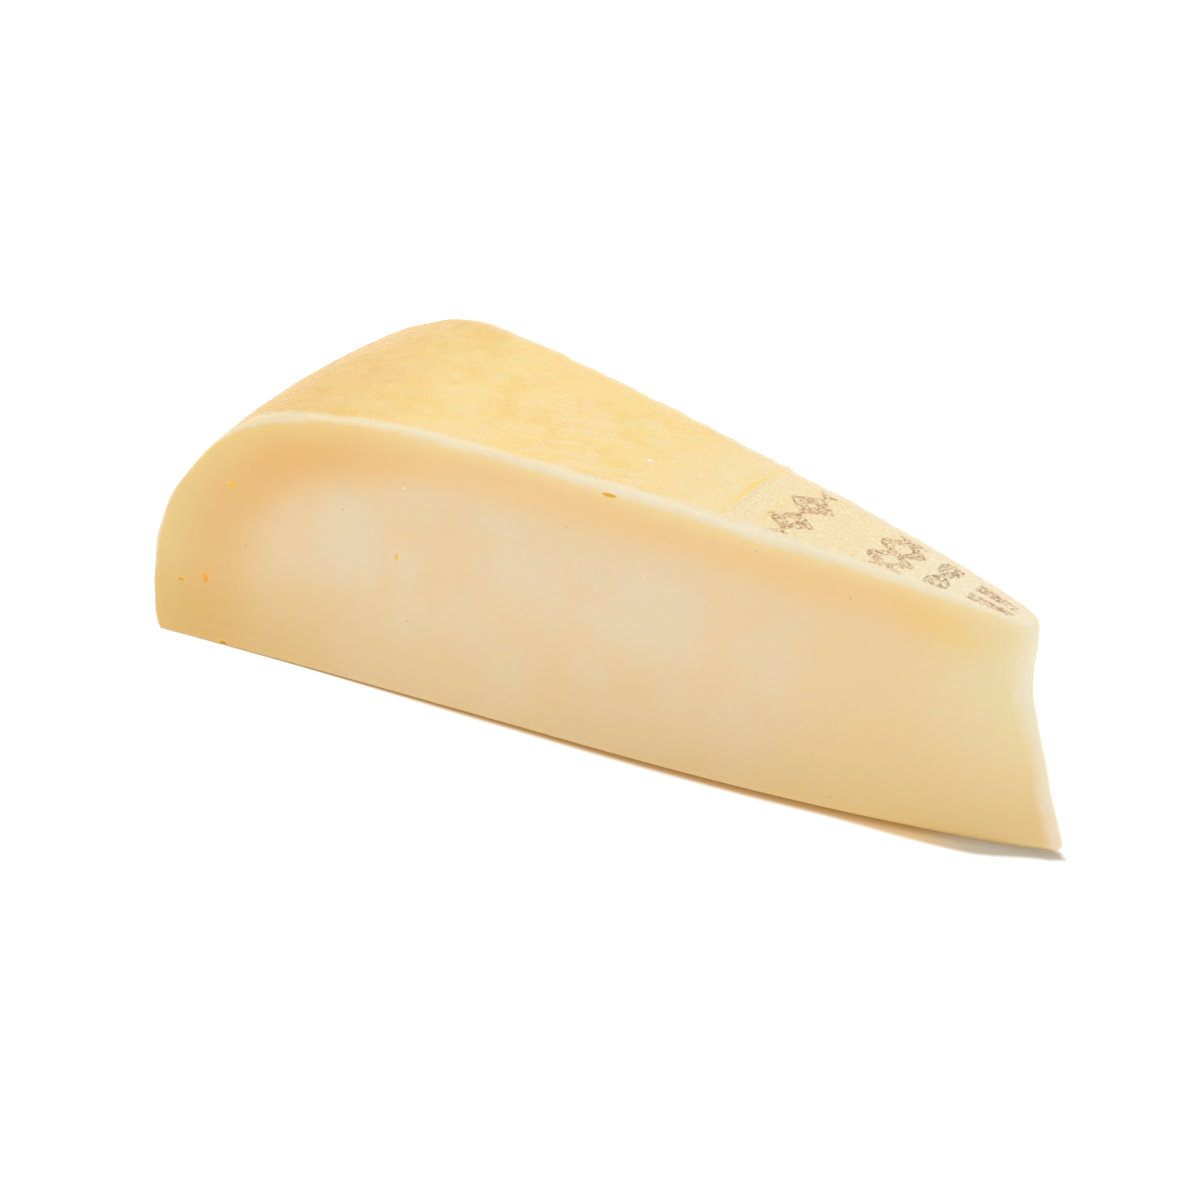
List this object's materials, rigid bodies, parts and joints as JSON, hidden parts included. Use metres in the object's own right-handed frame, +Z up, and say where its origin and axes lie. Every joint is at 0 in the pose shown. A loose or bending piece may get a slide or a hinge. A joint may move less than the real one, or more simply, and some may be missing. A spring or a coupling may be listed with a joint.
{
  "type": "gouda wedge",
  "caption": "Slim wedge of semi-hard yellow cheese with a rounded waxy rind, flat cut sides and a flat cut base, lying on its base.",
  "frame": {"origin": "middle of the bounding box on the flat base that the wedge lies on", "axes": "+X from the rounded rim towards the thin tip, +Z up; the two cut sides look to -Y and +Y"},
  "size_m": [0.1743, 0.0532, 0.0521],
  "materials": {
    "rind": "thin waxy yellow rind with a soft sheen, darker and faintly cloth-marked towards the rim",
    "paste": "smooth pale cut cheese with a soft translucent sheen, more orange under the rind"
  },
  "bodies": {
    "root": {"cheese_wedge": "rind"}
  },
  "joints": []
}
